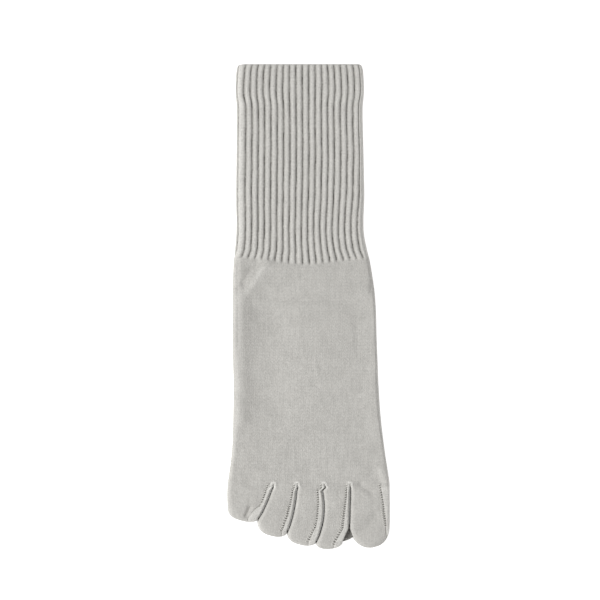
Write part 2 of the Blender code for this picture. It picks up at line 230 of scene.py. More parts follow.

# Painted shade and painted highlight: how dark stitch holes, gaps and the web are painted,
# and how light raised cloth is painted
HOLE_SHADE = 1.5
WEB_SHADE = 0.85
ROLL_HIGHLIGHT = 1.2
LIP_HIGHLIGHT = 1.7
RIDGE_HIGHLIGHT = 0.6
FULL_RIDGE = 0.0010

# One row for each station of the flattened tube. down is a share of the way from the cuff's edge to the toes'
# root. left and right are shares of half the toes' spread, and top and fold shares of the leg's height.
Station = namedtuple("Station", "down left right top fold")

TUBE = [
    Station(down=0.000, left=-0.874, right=0.650, top=1.02, fold=0.46),
    Station(down=0.012, left=-0.890, right=0.667, top=1.06, fold=0.46),
    Station(down=0.032, left=-0.899, right=0.677, top=1.07, fold=0.46),
    Station(down=0.079, left=-0.899, right=0.677, top=1.07, fold=0.46),
    Station(down=0.094, left=-0.891, right=0.668, top=1.00, fold=0.50),
    Station(down=0.120, left=-0.889, right=0.666, top=1.00, fold=0.51),
    Station(down=0.190, left=-0.891, right=0.674, top=1.00, fold=0.51),
    Station(down=0.305, left=-0.898, right=0.685, top=1.00, fold=0.51),
    Station(down=0.415, left=-0.898, right=0.688, top=1.00, fold=0.51),
    Station(down=0.448, left=-0.913, right=0.725, top=1.00, fold=0.51),
    Station(down=0.468, left=-0.924, right=0.750, top=0.98, fold=0.51),
    Station(down=0.496, left=-0.931, right=0.775, top=1.00, fold=0.51),
    Station(down=0.525, left=-0.937, right=0.798, top=1.00, fold=0.48),
    Station(down=0.554, left=-0.937, right=0.813, top=1.02, fold=0.38),
    Station(down=0.674, left=-0.935, right=0.837, top=1.03, fold=0.31),
    Station(down=0.715, left=-0.932, right=0.846, top=1.00, fold=0.33),
    Station(down=0.760, left=-0.928, right=0.857, top=0.88, fold=0.42),
    Station(down=0.847, left=-0.932, right=0.887, top=0.87, fold=0.40),
    Station(down=0.904, left=-0.941, right=0.921, top=0.87, fold=0.29),
    Station(down=0.952, left=-0.962, right=0.956, top=0.87, fold=0.26),
    Station(down=0.981, left=-0.984, right=0.980, top=0.87, fold=0.26),
    Station(down=1.000, left=-0.998, right=0.994, top=0.87, fold=0.26),
]

# The side lines of the toes. root, middle, end and hook are shares of the spread, the hook a sidestep at the
# root. The rest are shares of the longest toe: the line's length, where the toe at its left and the toe at
# its right begin to round off, and how wide the two toes part at the end.
SideLine = namedtuple("SideLine", "root middle end hook length left_toe right_toe spread")

SIDE_LINES = [
    SideLine(-0.499, -0.503, -0.499, 0.000, 0.400, 0.000, 0.400, 0.000),
    SideLine(-0.215, -0.258, -0.318, 0.003, 0.586, 0.528, 0.586, 0.000),
    SideLine(-0.074, -0.090, -0.134, 0.006, 0.759, 0.720, 0.759, 0.000),
    SideLine(+0.068, +0.091, +0.042, 0.026, 0.914, 0.875, 0.914, 0.000),
    SideLine(+0.254, +0.250, +0.245, 0.000, 0.892, 0.892, 0.812, 0.176),
    SideLine(+0.497, +0.500, +0.499, 0.000, 0.660, 0.660, 0.000, 0.000),
]

# A toe's tip bulge as a share of the longest toe, and the power that makes the bulge lean to one side. Its
# seam roll's widths and flare are shares of ROLL_WIDTH, the flare at a share of the toe's right side. The
# stitches run from the root to a share of that side, and from second_row on there are two rows of them.
Toe = namedtuple(
    "Toe", "name bulge lean roll_root roll_middle roll_tip flare flare_at second_row stitches_to",
)

TOES = [
    Toe("little_toe", 0.124, 0.8, 0.80, 0.64, 0.85, 0.55, 0.94, 1.00, 0.58),
    Toe("fourth_toe", 0.162, 0.8, 0.40, 0.57, 0.62, 0.15, 1.00, 0.50, 1.00),
    Toe("middle_toe", 0.132, 0.8, 0.45, 0.72, 0.80, 0.25, 1.05, 0.72, 1.02),
    Toe("second_toe", 0.103, 1.0, 0.42, 0.62, 1.05, 0.00, 1.00, 0.40, 1.05),
    Toe("big_toe", 0.255, 1.4, 1.35, 0.88, 0.55, 0.00, 1.00, 0.60, 1.00),
]

# Creases and swellings of the front. Their ends are given across, as shares of half the spread, and down, as
# shares of the sock's length from the cuff. A crease has a height below 0.
Crease = namedtuple("Crease", "from_across from_down to_across to_down width height")

CREASES = [
    Crease(-0.502, 0.409, -0.724, 0.465, 0.0026, +0.0011),
    Crease(-0.455, 0.415, -0.675, 0.470, 0.0050, +0.0005),
    Crease(-0.637, 0.406, -0.798, 0.450, 0.0022, -0.0011),
    Crease(-0.736, 0.410, -0.736, 0.416, 0.0040, -0.0006),
    Crease(-0.720, 0.468, -0.600, 0.520, 0.0035, -0.0003),
    Crease(-0.560, 0.482, +0.440, 0.486, 0.0024, -0.0006),
    Crease(-0.868, 0.405, -0.872, 0.580, 0.0009, -0.0004),
    Crease(-0.830, 0.480, -0.830, 0.730, 0.0050, +0.0011),
    Crease(-0.450, 0.520, -0.470, 0.710, 0.0160, -0.0024),
    Crease(+0.760, 0.480, +0.800, 0.760, 0.0060, +0.0004),
    Crease(+0.773, 0.446, +0.761, 0.467, 0.0012, -0.0011),
    Crease(+0.570, 0.520, +0.590, 0.590, 0.0018, -0.0003),
    Crease(-0.110, 0.836, +0.020, 0.832, 0.0020, -0.0002),
    Crease(-0.740, 0.862, -0.680, 0.850, 0.0030, -0.0005),
    Crease(-0.721, 0.914, -0.764, 0.930, 0.0015, -0.0016),
    Crease(+0.640, 0.866, +0.770, 0.882, 0.0021, -0.0010),
    Crease(+0.890, 0.836, +0.950, 0.866, 0.0026, +0.0011),
    Crease(+0.580, 0.970, +0.820, 0.935, 0.0036, -0.0014),
]


def eased(share):
    """A share clipped to 0..1 that starts and ends gently."""
    share = np.clip(share, 0.0, 1.0)
    return share * share * (3 - 2 * share)


def mix(start, end, share):
    return start + (end - start) * share


def bell(distance, width):
    return np.exp(-((distance / width) ** 2))


def parabola(start, middle, end, share):
    """The parabola through three values at shares 0, 1/2 and 1."""
    near_start = start * (1 - share) * (1 - 2 * share)
    return near_start + middle * 4 * share * (1 - share) + end * share * (2 * share - 1)


def rounding(distance, radius):
    """Share of the full half-height at a distance in from a rounded edge: a quarter of an ellipse, then 1."""
    return np.sqrt(1.0 - (1.0 - np.clip(distance / radius, 0.0, 1.0)) ** 2)


def column(rows, name, down):
    """A column of a table at any places, on cubics whose slope at each row is that of its two neighbours."""
    places = np.array([row.down for row in rows])
    values = np.array([getattr(row, name) for row in rows])
    slopes = np.gradient(values, places)
    step = np.clip(np.searchsorted(places, down) - 1, 0, len(rows) - 2)
    width = places[step + 1] - places[step]
    share = np.clip((down - places[step]) / width, 0.0, 1.0)
    start, end = values[step], values[step + 1]
    start_bend = share * (1 - share) ** 2 * slopes[step] * width
    end_bend = share**2 * (1 - share) * slopes[step + 1] * width
    return mix(start, end, eased(share)) + start_bend - end_bend


def side_line(line, depth):
    """x of a side line at a depth below the toes' root: a parabola, with a sidestep at the root."""
    share = depth / (line.length * LONGEST_TOE)
    step = line.hook * (1 - eased((depth - HOOK_DEPTH) / HOOK_LENGTH))
    return SPREAD * (parabola(line.root, line.middle, line.end, share) + step)


def opened(depth):
    """How far a gap between two toes has opened at a depth below the toes' root, from 0 to 1."""
    return eased((depth - GAP_START) / GAP_OPENING)


def half_gap(line, depth):
    """Half the gap between two toes. Towards the line's end it may spread steadily."""
    share = depth / (line.length * LONGEST_TOE)
    spreading = np.clip((share - SPREAD_START) / (1 - SPREAD_START), 0, 1)
    return TOE_GAP / 2 * opened(depth) + line.spread * LONGEST_TOE / 2 * spreading


def lips(x, y):
    """Low lips of cloth round the top of each gap between two toes, like horseshoes, from 0 to 1."""
    height = 0.0
    depth = TOE_LINE - GAP_START - y
    below, above = np.maximum(depth, 0), np.minimum(depth, 0)
    for line in SIDE_LINES[1:-1]:
        away = np.hypot(x - side_line(line, below + GAP_START), above)
        height = height + bell(away - LIP_REACH, LIP_WIDTH) * (1 - eased(below / LIP_LENGTH))
    return height


def ripples(x, y):
    """Height of two patterns of low ripples, each a wave across times a wave along. Lengths are in metres."""
    broad = np.sin(x / 0.0110 + 1.3 * np.sin(y / 0.031)) * np.sin(y / 0.0170 + 0.6)
    fine = np.sin(x / 0.0063 - y / 0.0240) * np.sin(y / 0.0095 + x / 0.0300)
    return BROAD_RIPPLE * broad + FINE_RIPPLE * fine


def relief(x, y):
    """Height of lips, ripples and creases over the front.

    A crease is a bell across its line that fades at its ends.
    """
    height = LIP_HEIGHT * lips(x, y) + ripples(x, y)
    for crease in CREASES:
        start = np.array([crease.from_across * SPREAD / 2, CUFF_EDGE - crease.from_down * LENGTH])
        run = np.array([crease.to_across * SPREAD / 2, CUFF_EDGE - crease.to_down * LENGTH]) - start
        reach = math.hypot(*run)
        run = run / reach
        along = (x - start[0]) * run[0] + (y - start[1]) * run[1]
        off = (x - start[0]) * run[1] - (y - start[1]) * run[0]
        past = np.maximum(0.0, np.maximum(-along, along - reach))
        height = height + crease.height * bell(off, crease.width) * bell(past, crease.width)
    return height


# The flattened tube

Tube = namedtuple("Tube", "left right low high fold")


def tube_at(y):
    """Edges, heights and side folds of the tube's outside at places along the sock."""
    down = (CUFF_EDGE - y) / (CUFF_EDGE - TOE_LINE)
    past_heel = HEEL_LINE - y - HEEL_DEPTH - JOIN
    over_heel = (y < HEEL_LINE + 1e-7) * (1 - eased(past_heel / SOLE_DROP))
    return Tube(
        left=SPREAD / 2 * column(TUBE, "left", down),
        right=SPREAD / 2 * column(TUBE, "right", down),
        low=(HEEL_HEIGHT + JOIN) * over_heel,
        high=LEG_HEIGHT * column(TUBE, "top", down),
        fold=LEG_HEIGHT * column(TUBE, "fold", down),
    )


def around(tube, share, inset=0.0):
    """Points and outward directions round a tube, set in by a distance.

    share runs from 0 at the left edge over the top to 1/2 at the right edge, and back along the bottom to 1.
    The side folds are quarters of an ellipse, and the rest is flat.
    """
    under = share > 0.5
    across = 2 * np.where(under, 1 - share, share)
    left_angle = np.clip(across / LEFT_TURN, 0, 1) * math.pi / 2
    right_angle = np.clip((1 - across) / RIGHT_TURN, 0, 1) * math.pi / 2
    flat = np.clip((across - LEFT_TURN) / (1 - LEFT_TURN - RIGHT_TURN), 0, 1)
    left_fold = tube.fold - inset
    right_fold = np.maximum(RIGHT_FOLD * tube.fold - inset, 0.0)
    width = tube.right - tube.left - (1 + RIGHT_FOLD) * tube.fold
    side = np.where(under, -1.0, 1.0)
    folds = left_fold * (1 - np.cos(left_angle)) + right_fold * np.cos(right_angle)
    x = tube.left + inset + folds + width * flat
    rise = np.sin(left_angle) * np.sin(right_angle)
    z = (tube.high + tube.low) / 2 + side * rise * ((tube.high - tube.low) / 2 - inset)
    out_x = np.cos(right_angle) - np.cos(left_angle)
    return x, z, out_x, side * rise


def column_shares(fold_columns, flat_columns):
    """Shares round the tube for plain pieces: close together round the side folds, even over the flats."""
    turn = np.linspace(0, 1, fold_columns, endpoint=False)
    flat = np.linspace(LEFT_TURN, 1 - RIGHT_TURN, flat_columns, endpoint=False)
    top = np.concatenate([LEFT_TURN * turn, flat, 1 - RIGHT_TURN + RIGHT_TURN * turn]) / 2
    return np.concatenate([top, [0.5], 1 - top[:0:-1]])


# Meshes

# A slot's name and the material that fills it
Look = namedtuple("Look", "slot material")


def knit_piece(name, points, stitches, look, nodes, wraps, rims, valley=0.0, crest=0.0):
    """A closed surface from rows of points, each row a closed ring.

    stitches is the UV map, as a pair of wales and courses, with one column more than the points where the
    ring closes. The surface wraps from its last row to its first, or starts and ends in a row that lies flat.
    rims are the rows where the wall is cut square. valley is painted shade on the knit and crest painted
    highlight, between and on its ribs, and over holes, gaps, rolls, shoulders and lips.
    """
    rows, columns = points.shape[:2]
    index = np.arange(rows * columns).reshape(rows, columns)
    ring = np.concatenate([index, index[:, :1]], axis=1)
    uv = np.stack(np.broadcast_arrays(*stitches), axis=-1)
    if wraps:
        ring = np.concatenate([ring, ring[:1]], axis=0)
        uv = np.concatenate([uv, uv[-1:]], axis=0)
    here, after = slice(None, -1), slice(1, None)
    around_face = [(here, here), (here, after), (after, after), (after, here)]
    corners = np.stack([ring[place] for place in around_face], axis=-1).reshape(-1, 4)
    corner_uv = np.stack([uv[place] for place in around_face], axis=-2).reshape(-1, 4, 2)
    flat = points.reshape(-1, 3)
    a, b, c, d = (flat[corners[:, i]] for i in range(4))
    if np.einsum("ij,ij->i", a + b + c + d, np.cross(c - a, d - b)).sum() < 0:
        corners, corner_uv = corners[:, ::-1], corner_uv[:, ::-1]
    mesh = bpy.data.meshes.new(name)
    mesh.vertices.add(len(flat))
    mesh.vertices.foreach_set("co", flat.astype(np.float32).ravel())
    mesh.loops.add(corners.size)
    mesh.loops.foreach_set("vertex_index", corners.astype(np.int32).ravel())
    mesh.polygons.add(len(corners))
    mesh.polygons.foreach_set("loop_start", np.arange(0, corners.size, 4, dtype=np.int32))
    mesh.uv_layers.new(name="stitches").uv.foreach_set("vector", corner_uv.astype(np.float32).ravel())
    for shade, value in (("valley", valley), ("crest", crest)):
        value = np.broadcast_to(value, (rows, columns)).astype(np.float32).ravel()
        mesh.attributes.new(shade, "FLOAT", "POINT").data.foreach_set("value", value)
    mesh.update(calc_edges=True)
    mark_rims(mesh, columns, [row % rows for row in rims])
    if not wraps:
        merge_doubles(mesh)
    finish_piece(name, mesh, look, nodes)


def mark_rims(mesh, columns, rims):
    """Marks the ring edges of the rims as sharp."""
    ends = np.empty(len(mesh.edges) * 2, dtype=np.int32)
    mesh.edges.foreach_get("vertices", ends)
    row = (ends // columns).reshape(-1, 2)
    sharp = (row[:, 0] == row[:, 1]) & np.isin(row[:, 0], rims)
    mesh.attributes.new("sharp_edge", "BOOLEAN", "EDGE").data.foreach_set("value", sharp)


def merge_doubles(mesh):
    """Closes the line at a pocket's tip, where the first and the last row lie flat."""
    bm = bmesh.new()
    bm.from_mesh(mesh)
    bmesh.ops.remove_doubles(bm, verts=bm.verts, dist=1e-6)
    bm.to_mesh(mesh)
    bm.free()


def finish_piece(name, mesh, look, nodes):
    mesh.shade_smooth()
    mesh.materials.append(look.material)
    piece = bpy.data.objects.new(name, mesh)
    bpy.context.scene.collection.objects.link(piece)
    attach(piece, "root")
    if nodes:
        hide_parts(*nodes)


# Leg and welt

def rib_valleys(share, y):
    """How deep in a valley between ribs a place is, from 0 to 1, and how far the ribs have not yet run out.

    A rib is a round crest with a narrow valley at each whole number of the phase. The valleys wander a
    little, lean to the left in the lower half at the right, part again near their lower ends, and run out
    sooner at the sock's sides.
    """
    lean_start = WELT_END - LEAN_START
    to_right = (1 - np.cos(2 * math.pi * share)) / 2
    lean = RIB_LEAN * np.clip((lean_start - y) / (lean_start - RIB_END), 0, 1) * to_right
    splay = RIB_SPLAY * eased((RIB_END + SPLAY_START - y) / SPLAY_LENGTH) * np.cos(2 * math.pi * share)
    long_wander = LONG_WANDER * np.sin(y / LONG_WAVE + LONG_SKEW * share)
    short_wander = SHORT_WANDER * np.sin(y / SHORT_WAVE + SHORT_SKEW * share)
    phase = share * RIB_COUNT + RIB_OFFSET + lean + splay + (long_wander + short_wander)
    from_crest = np.abs(2 * (phase - np.floor(phase)) - 1)
    valley = 1 - (1 - from_crest**CREST_ROUNDING) ** CREST_FULLNESS
    across = 2 * np.minimum(share, 1 - share)
    near_right = eased((across - LOW_START) / LOW_FADE) * eased((LOW_END - across) / LOW_FADE)
    valley = valley * (1 - LOWERED * near_right)
    sooner = SIDES_STOP_SOONER * np.abs(np.cos(2 * math.pi * share)) ** 3
    stop = RIB_END - RIBS_RUN_ON + sooner + UNEVEN_STOP * np.sin(37.0 * np.round(phase))
    run_out = eased((y - stop) / RIB_FADE)
    return valley * run_out, run_out


def make_leg():
    """Welt and ribbed leg as one wall: up the outside, over the mouth, down the hem and back inside."""
    turn = WALL + WELT_PLAY / 2
    shoulder = CUFF_EDGE - turn
    low = RIB_END - LEG_RUNS_ON
    hem = WELT_END + HEM_STOP
    splay_top, below_band, in_band = RIB_END + 0.007, WELT_END - 0.006, WELT_END + 0.006
    outside = np.concatenate([
        np.linspace(low, splay_top, 22, endpoint=False),
        np.linspace(splay_top, below_band, 54, endpoint=False),
        np.linspace(below_band, in_band, 18, endpoint=False),
        np.linspace(in_band, shoulder, 14),
    ])
    angle = np.linspace(0, math.pi, 11)[1:-1]
    hem_inside = np.linspace(shoulder, hem, 12)
    hem_outside = np.array([hem, shoulder, CUFF_EDGE - WALL])
    inside = np.concatenate([[shoulder], np.linspace(WELT_END, low, 26)])
    y = np.concatenate([outside, shoulder + turn * np.sin(angle), hem_inside, hem_outside, inside])
    inset = np.concatenate([
        np.zeros(len(outside)), turn - turn * np.cos(angle), np.full(len(hem_inside), 2 * turn),
        [2 * turn - WALL, 2 * turn - WALL, turn], np.full(len(inside), WALL),
    ])
    hem_row = len(outside) + len(angle) + len(hem_inside) - 1
    path = np.concatenate([[0], np.cumsum(np.hypot(np.diff(y), np.diff(inset)))])[:, None]
    y, inset = y[:, None], inset[:, None]
    columns = RIB_COUNT * COLUMNS_PER_RIB
    share = (np.arange(columns)[None, :] + 0.5) / columns
    valley, run_out = rib_valleys(share, y)
    from_edge = eased((CUFF_EDGE - y) / EDGE_FADE)
    depth = RIB_DEPTH * mix(EDGE_DEPTH, 1.0, from_edge) * (1 + KINK_DEPTH * bell(y - WELT_END, KINK_REACH))
    depth = depth * (1 + UNEVEN_DEPTH * np.sin(y / DEPTH_WAVE + DEPTH_SKEW * share))
    outer = np.clip(1 - inset / WALL, 0, 1)
    x, z, out_x, out_z = around(tube_at(y), share, inset)
    x, z = x - out_x * valley * depth, z - out_z * valley * depth
    z = z + outer * np.maximum(out_z, 0) * relief(x, y)
    points = np.stack([x, np.broadcast_to(y, x.shape), z], axis=-1)
    wales = np.arange(columns + 1)[None, :] / COLUMNS_PER_RIB * WALES_PER_RIB
    # The rib valleys take painted shade, and the ribs' crests painted highlight.
    knit_piece(
        "leg_knit", points, (wales, path / COURSE), RIB_KNIT, ("welt", "rib_leg"), wraps=True,
        rims=(0, hem_row, hem_row + 1, -1), valley=valley * outer, crest=(run_out - valley) * outer,
    )


# Ankle and foot

def plain_tube(name, y, side_shape, nodes, fold_columns=14, flat_columns=92, inner_rows=14):
    """A plain knitted tube between two places: down the outside and back up the inside.

    The relief moves both skins of its upper side, so that a deep dip doesn't cut through the wall.
    """
    inner = np.linspace(y[-1], y[0], inner_rows)
    places = np.concatenate([y, inner])[:, None]
    inset = np.concatenate([np.zeros(len(y)), np.full(inner_rows, WALL)])[:, None]
    share = column_shares(fold_columns, flat_columns)[None, :]
    x, z, out_x, out_z = around(tube_at(places), share, inset)
    x = side_shape(places, x, z, out_x)
    height = relief(x, places)
    top = np.maximum(out_z, 0)
    z = z + top * height
    # Painted highlight on the lips and on cloth that the relief raises
    crest = LIP_HIGHLIGHT * lips(x, places) + RIDGE_HIGHLIGHT * np.clip(height / FULL_RIDGE, 0, 1)
    points = np.stack([x, np.broadcast_to(places, x.shape), z], axis=-1)
    wales = np.append(share[0], 1.0)[None, :] * 2 * SPREAD / WALE
    path = np.concatenate([[0], np.cumsum(np.abs(np.diff(places[:, 0])))])[:, None]
    knit_piece(
        name, points, (wales, path / COURSE), PLAIN_KNIT, nodes, wraps=True,
        rims=(0, len(y) - 1, len(y), -1), crest=(inset == 0) * top * crest,
    )


def pinch(y, x, z, out_x):
    """The side fold parts into foot and heel pocket as it nears the heel line: it draws in between them."""
    near = eased(1 - (y - HEEL_LINE) / PINCH_REACH)
    draw = PINCH_DEPTH * near * bell(z - HEEL_HEIGHT - JOIN / 2, PINCH_HEIGHT) * np.abs(out_x)
    return x - np.sign(out_x) * draw


def as_it_is(y, x, z, out_x):
    return x


def make_ankle():
    y = np.linspace(RIB_END - LEG_RUNS_ON, HEEL_LINE, 40)
    plain_tube("ankle_knit", y, pinch, ("ankle",))


def make_foot():
    near_toes = TOE_LINE + 0.006
    y = np.concatenate([
        np.linspace(HEEL_LINE - 1e-6, near_toes, 150, endpoint=False),
        np.linspace(near_toes, TOE_LINE, 16),
    ])
    plain_tube("foot_knit", y, as_it_is, ("foot",), flat_columns=150)


# Pockets

# left, right and folds are functions of shares of the two sides' lengths, and heights of the share of the
# pocket's length. swell gives the height over the plain top at a Spot, outside or inside the wall, and shade
# how much painted shade and painted highlight the spot takes.
Plan = namedtuple(
    "Plan", "mouth left right left_length right_length bulge lean heights folds tip_fold swell shade",
)
Spot = namedtuple("Spot", "share reach at_left at_right from_left from_right x y")


def pocket_spot(plan, along, share, inset=0.0):
    """A place at shares of a pocket's length and width: how far it is down and in from both side lines.

    Each column runs from the mouth to the tip, which bulges past the side lines' ends by a half-ellipse. At
    any depth below the mouth a row spans the two side lines.
    """
    past_ends = np.sqrt(np.maximum(0, 1 - np.abs(2 * share**plan.lean - 1) ** TIP_FULLNESS))
    reach = mix(plan.left_length, plan.right_length, share) + (plan.bulge - inset) * past_ends
    at_left, at_right = reach * along / plan.left_length, reach * along / plan.right_length
    left = plan.left(np.minimum(at_left, 1)) + inset
    width = plan.right(np.minimum(at_right, 1)) - inset - left
    x, y = left + width * share, plan.mouth - reach * along
    return Spot(share, reach, at_left, at_right, width * share, width * (1 - share), x, y)


def pocket_points(plan, along, share, under, inset):
    """Points of a pocket on its top or its underside, and the painted shade and painted highlight they take.

    The half-height is a quarter of an ellipse at each side and at the tip.
    """
    spot = pocket_spot(plan, along, share, inset)
    left_fold, right_fold = plan.folds(spot.at_left, spot.at_right)
    at_tip = rounding(spot.reach * (1 - along), plan.tip_fold - inset)
    at_left = rounding(spot.from_left, np.maximum(left_fold - inset, THINNEST_FOLD))
    at_right = rounding(spot.from_right, np.maximum(right_fold - inset, THINNEST_FOLD))
    rise = at_tip * at_left * at_right
    low, high = plan.heights(along)
    half = ((high - low) / 2 - inset) * rise
    outside = inset == 0
    outer_top = ~under & outside
    z = (high + low) / 2 + np.where(under, -half, half + plan.swell(spot, outside) * rise)
    points = np.stack(np.broadcast_arrays(spot.x, spot.y, z), axis=-1)
    valley, crest = plan.shade(spot)
    return points, valley * outer_top, crest * outer_top


def pocket_rows(count, tip_share):
    """Shares along a pocket: even down to the tip's rounding, then closer and closer together."""
    straight = np.linspace(0, 1 - tip_share, count, endpoint=False)
    turn = 1 - tip_share * (1 - np.sin(np.linspace(0, math.pi / 2, max(8, count // 4))))
    return np.concatenate([straight, turn])


def make_pocket(name, plan, columns, rows, nodes):
    """A pocket as one wall: from the tip up the inside to the mouth, and down the outside to the tip."""
    reach = max(plan.left_length, plan.right_length) + plan.bulge
    tip_share = plan.tip_fold / reach
    outside, inside = pocket_rows(rows, tip_share), pocket_rows(8, tip_share)[::-1]
    along = np.concatenate([inside, outside])[:, None]
    inset = np.concatenate([np.full(len(inside), WALL), np.zeros(len(outside))])[:, None]
    across = columns(along)
    share = np.concatenate([across, across[:, -2:0:-1]], axis=1)
    under = np.arange(share.shape[1])[None, :] >= across.shape[1]
    points, valley, crest = pocket_points(plan, along, share, under, inset)
    width = plan.right(0.3) - plan.left(0.3)
    turned = np.where(under, 2 - share, share)
    wales = np.concatenate([turned, np.full((len(along), 1), 2.0)], axis=1) * width / WALE
    knit_piece(
        name, points, (wales, along * reach / COURSE), PLAIN_KNIT, nodes, wraps=False,
        rims=(len(inside) - 1, len(inside)), valley=valley, crest=crest,
    )


def make_heel():
    """The heel pocket, folded flat under the foot. It narrows from the heel line to a round tip."""
    side_length = HEEL_DEPTH - HEEL_TIP_BULGE
    mouth = tube_at(np.array(HEEL_LINE))
    middle, mouth_width = (mouth.left + mouth.right) / 2, mouth.right - mouth.left

    def half_width(along):
        return mix(mouth_width, HEEL_TIP_WIDTH, eased(along)) / 2

    def columns(along):
        fold_columns, flat_columns = 8, 60
        quarter = 1 - np.cos(np.linspace(0, math.pi / 2, fold_columns))
        turn = 0.5 * HEEL_FOLD / half_width(along) * quarter[None, :]
        flat = mix(turn[:, -1:], 1 - turn[:, -1:], np.linspace(0, 1, flat_columns)[None, 1:-1])
        return np.concatenate([turn, flat, 1 - turn[:, ::-1]], axis=1)

    plan = Plan(
        mouth=HEEL_LINE,
        left=lambda along: middle - half_width(along),
        right=lambda along: middle + half_width(along),
        left_length=side_length,
        right_length=side_length,
        bulge=HEEL_TIP_BULGE,
        lean=1.0,
        heights=lambda along: (0.0, HEEL_HEIGHT),
        folds=lambda at_left, at_right: (HEEL_FOLD, HEEL_FOLD),
        tip_fold=HEEL_FOLD + WALL,
        swell=lambda spot, outside: 0.0,
        shade=lambda spot: (0.0, 0.0),
    )
    make_pocket("heel_knit", plan, columns, 46, ("heel",))


def toe_plan(toe, left, right):
    """The plan of a toe between two side lines, and the width of the seam roll down its right side."""
    outer_left, outer_right = left is SIDE_LINES[0], right is SIDE_LINES[-1]
    left_length, right_length = left.right_toe * LONGEST_TOE, right.left_toe * LONGEST_TOE
    root = tube_at(np.array(TOE_LINE))

    def left_edge(at_left):
        depth = left_length * at_left
        return side_line(left, depth) + (0 if outer_left else half_gap(left, depth))

    def right_edge(at_right):
        depth = right_length * at_right
        return side_line(right, depth) - (0 if outer_right else half_gap(right, depth))

    def roll(at_right):
        plain = parabola(toe.roll_root, toe.roll_middle, toe.roll_tip, at_right)
        from_flare = np.clip((at_right - toe.flare_at) / FLARE_LENGTH, -1, 1)
        return ROLL_WIDTH * (plain + toe.flare * np.sqrt(1 - from_flare**2))

    def folds(at_left, at_right):
        left_fold = TOE_FOLD * opened(left_length * at_left)
        right_fold = ROLL_FOLD * opened(right_length * at_right)
        if outer_left:
            left_fold = mix(root.fold, OUTER_TOE_FOLD, eased(at_left))
        if outer_right:
            right_fold = RIGHT_FOLD * mix(root.fold, OUTER_TOE_FOLD, eased(at_right))
        return left_fold, right_fold

    def shoulder(spot):
        """How near a place is to the top of the gap at the toe's left, from 0 to 1."""
        near_gap = (1 - np.clip(spot.from_left / SHOULDER_WIDTH, 0, 1)) ** 2
        return near_gap * (0.0 if outer_left else opened(left_length * spot.at_left))

    def over_roll(spot):
        """Height over the seam roll, from 0 at its foot to 1 on its crest."""
        from_foot = eased((roll(spot.at_right) - spot.from_right) / ROLL_RISE)
        return from_foot * opened(right_length * spot.at_right)

    def swell(spot, outside):
        """The creases, and outside also the crown, the seam roll with its groove, and the shoulder."""
        grown = opened(right_length * spot.at_right)
        groove = GROOVE_DEPTH * grown * bell(spot.from_right - roll(spot.at_right), GROOVE_WIDTH)
        crown = CROWN_HEIGHT * eased(spot.at_right / CROWN_START) * np.sin(math.pi * spot.share)
        raised = ROLL_HEIGHT * over_roll(spot) + crown - groove - SHOULDER_DROP * shoulder(spot)
        return relief(spot.x, spot.y) + outside * raised

    def shade(spot):
        """Painted shade in stitch holes and on gap walls, and painted highlight on roll, shoulder and lips.
        """
        depth = right_length * spot.at_right
        shift = HOLE_SHIFT * np.sin(depth / SHIFT_LENGTH)
        holes = 0.5 + 0.5 * np.cos(2 * math.pi * depth / STITCH_SPACING + shift)
        to_end = toe.stitches_to - spot.at_right
        run = eased(spot.at_right / HOLES_FADE) * eased(to_end / HOLES_FADE)
        valley = HOLE_SHADE * run * holes * bell(spot.from_right - roll(spot.at_right), GROOVE_WIDTH)
        if not outer_left:
            width = CREVICE_WIDTH * (LEFT_CREVICE + LEFT_GROWTH * spot.at_left)
            dark = HOLE_SHADE * opened(left_length * spot.at_left)
            valley = valley + dark * bell(spot.from_left, width)
        if not outer_right:
            width = CREVICE_WIDTH * (RIGHT_CREVICE + RIGHT_GROWTH * spot.at_right)
            dark = HOLE_SHADE * opened(right_length * spot.at_right)
            valley = valley + dark * bell(spot.from_right, width)
        crest = ROLL_HIGHLIGHT * (over_roll(spot) + shoulder(spot) ** 0.5) + LIP_HIGHLIGHT * lips(spot.x, spot.y)
        return np.clip(valley, 0, HOLE_SHADE), np.clip(crest, 0, 2)

    plan = Plan(
        mouth=TOE_LINE,
        left=left_edge,
        right=right_edge,
        left_length=left_length,
        right_length=right_length,
        bulge=toe.bulge * LONGEST_TOE,
        lean=toe.lean,
        heights=lambda along: (0.0, mix(root.high, TOE_HEIGHT, eased(along / TOE_DESCENT))),
        folds=folds,
        tip_fold=TOE_TIP_FOLD,
        swell=swell,
        shade=shade,
    )
    return plan, roll


